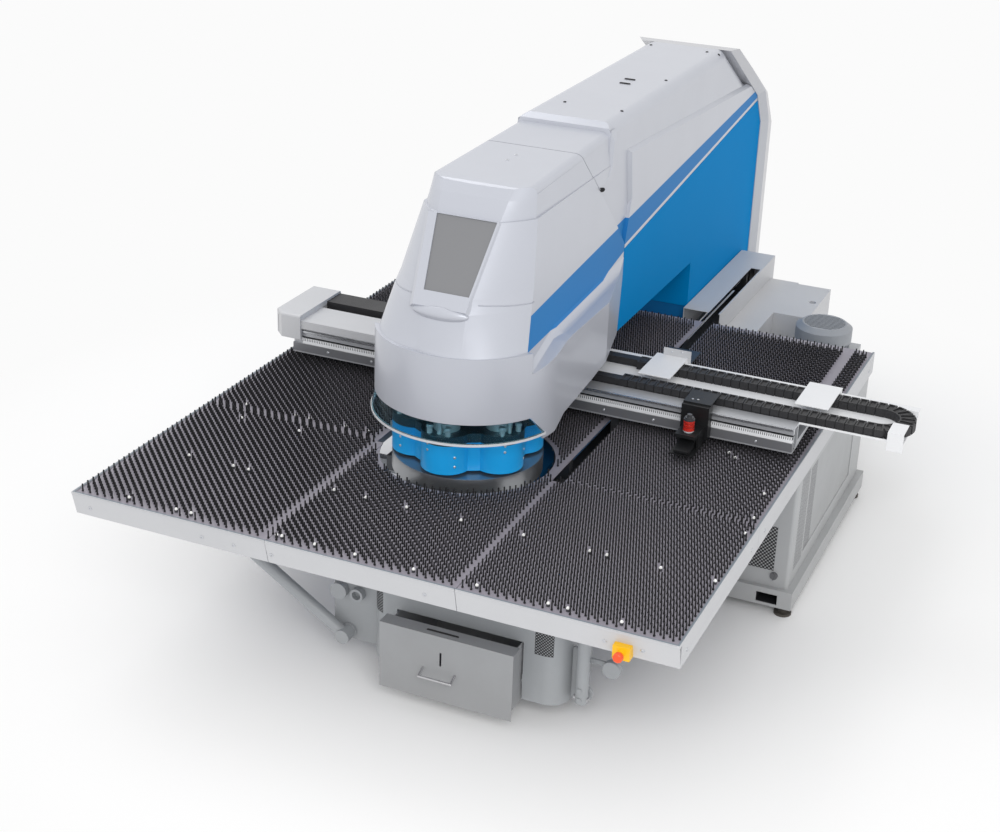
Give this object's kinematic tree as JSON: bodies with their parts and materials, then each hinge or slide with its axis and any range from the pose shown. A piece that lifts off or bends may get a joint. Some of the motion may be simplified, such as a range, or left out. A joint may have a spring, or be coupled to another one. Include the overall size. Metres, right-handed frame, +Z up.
{
  "type": "turret punch press",
  "caption": "CNC turret punch press: C-frame with a rotating tool turret under a moulded hood, brush table, clamp beam on rails, slug drawer, cabinet and pump motor",
  "frame": {"origin": "middle of the whole footprint on the floor", "axes": "+Y from the operator side to the back of the C-frame, +X to the right as seen by the operator, +Z up"},
  "size_m": [3.4012, 5.107, 2.3607],
  "materials": {
    "frame_blue": "satin paint",
    "panel_blue": "gloss paint",
    "silver_gloss": "metallic gel coat",
    "trim_silver": "satin paint",
    "smoked_window": "smoked pane",
    "clear_guard": "tinted clear sheet",
    "guard_rim": "satin",
    "dark_steel": "oiled steel",
    "table_grey": "satin paint",
    "brush_black": "moulded pins",
    "base_grey": "satin paint",
    "black_plastic": "moulded",
    "perforated_steel": "perforated sheet",
    "black_rubber": "moulded rubber",
    "motor_grey": "painted casting",
    "yellow_plate": "moulded box",
    "beam_aluminium": "anodised extrusion",
    "bright_steel": "ground steel",
    "tray_white": "satin paint",
    "black_steel": "black oxide",
    "red_cylinder": "red anodised",
    "turret_blue": "gloss paint",
    "chrome_tools": "ground and polished",
    "machined_steel": "machined",
    "stop_red": "moulded"
  },
  "bodies": {
    "frame": {"frame_base": "frame_blue", "frame_column": "frame_blue", "frame_arm": "frame_blue", "side_panel_right": "panel_blue", "side_panel_left": "panel_blue", "throat_liner": "panel_blue", "rear_cover": "silver_gloss", "rear_trim": "trim_silver", "front_hood": "silver_gloss", "hood_window": "smoked_window", "visor_glass": "clear_guard", "visor_rim": "guard_rim", "head_bearings": "dark_steel", "decks_front": "table_grey", "decks_rear": "table_grey", "pins_left": "brush_black", "pins_centre_front": "brush_black", "pins_centre_rear": "brush_black", "pins_right": "brush_black", "table_subframe": "base_grey", "table_struts": "base_grey", "y_rails": "dark_steel", "drive_motor": "black_plastic", "base_cover": "base_grey", "base_brackets": "base_grey", "right_cabinet": "base_grey", "cabinet_grille": "perforated_steel", "cabinet_base": "base_grey", "levelling_feet": "black_rubber", "drive_cover": "table_grey", "rear_boxes": "table_grey", "oil_tank": "base_grey", "pump_motor": "motor_grey", "fan_cowl": "motor_grey", "stop_box": "yellow_plate"},
    "y_slide": {"x_beam": "beam_aluminium", "x_rails": "bright_steel", "beam_end_cap": "table_grey", "beam_cover": "table_grey", "chain_duct": "black_plastic", "chain_tray": "tray_white", "bridge_plates": "tray_white", "energy_chain": "black_plastic", "slide_brackets": "dark_steel"},
    "clamp_right": {"clamp_right": "black_steel", "cylinder_right": "red_cylinder"},
    "clamp_left": {"clamp_left": "black_steel", "cylinder_left": "red_cylinder"},
    "jaw_right": {"jaw_right": "black_steel"},
    "jaw_left": {"jaw_left": "black_steel"},
    "upper_turret": {"upper_turret": "turret_blue", "punch_tools": "chrome_tools"},
    "lower_turret": {"lower_turret": "machined_steel"},
    "ram": {"ram": "bright_steel"},
    "slug_drawer": {"slug_drawer": "base_grey", "drawer_handle": "bright_steel"},
    "stop_button": {"stop_button": "stop_red"},
    "cooling_fan": {"cooling_fan": "black_plastic"},
    "y_screw": {"y_screw": "bright_steel"},
    "door_latch": {"door_latch": "bright_steel"}
  },
  "joints": [
    {"name": "y_travel", "type": "slide", "parent": "frame", "child": "y_slide", "axis": [0, 1, 0], "range_m": [0, 1.25]},
    {"name": "y_screw_turn", "type": "hinge", "parent": "frame", "child": "y_screw", "pos_m": [0.14, 0.5115, 0.84], "axis": [0, 1, 0], "continuous": true},
    {"name": "x_travel", "type": "slide", "parent": "y_slide", "child": "clamp_right", "axis": [1, 0, 0], "range_m": [-0.55, 0.38]},
    {"name": "x_travel_left", "type": "slide", "parent": "y_slide", "child": "clamp_left", "axis": [1, 0, 0], "range_m": [-0.55, 0.38]},
    {"name": "jaw_right_open", "type": "hinge", "parent": "clamp_right", "child": "jaw_right", "pos_m": [0.695, -0.7435, 0.985], "axis": [-1, 0, 0], "range_deg": [0, 10]},
    {"name": "jaw_left_open", "type": "hinge", "parent": "clamp_left", "child": "jaw_left", "pos_m": [-0.075, -0.7435, 0.985], "axis": [-1, 0, 0], "range_deg": [0, 10]},
    {"name": "turret_index", "type": "hinge", "parent": "frame", "child": "upper_turret", "pos_m": [-0.255, -1.2785, 1.115], "axis": [0, 0, 1], "continuous": true},
    {"name": "lower_turret_index", "type": "hinge", "parent": "frame", "child": "lower_turret", "pos_m": [-0.255, -1.2785, 0.915], "axis": [0, 0, 1], "continuous": true},
    {"name": "ram_stroke", "type": "slide", "parent": "frame", "child": "ram", "axis": [0, 0, -1], "range_m": [0, 0.032]},
    {"name": "drawer_slide", "type": "slide", "parent": "frame", "child": "slug_drawer", "axis": [0, -1, 0], "range_m": [0, 0.45]},
    {"name": "stop_press", "type": "slide", "parent": "frame", "child": "stop_button", "axis": [0, 1, 0], "range_m": [0, 0.005], "stiffness_N_per_m": 400},
    {"name": "fan_spin", "type": "hinge", "parent": "frame", "child": "cooling_fan", "pos_m": [0.855, 1.3015, 0.855], "axis": [0, 0, 1], "continuous": true},
    {"name": "latch_turn", "type": "hinge", "parent": "frame", "child": "door_latch", "pos_m": [1.13, -0.5285, 0.215], "axis": [0, 1, 0], "range_deg": [0, 90]}
  ],
  "couplings": [
    {"joint": "y_screw_turn", "follows": "y_travel", "rad_per_m": 157.08},
    {"joint": "x_travel_left", "follows": "x_travel", "ratio": 1},
    {"joint": "lower_turret_index", "follows": "turret_index", "ratio": 1}
  ]
}
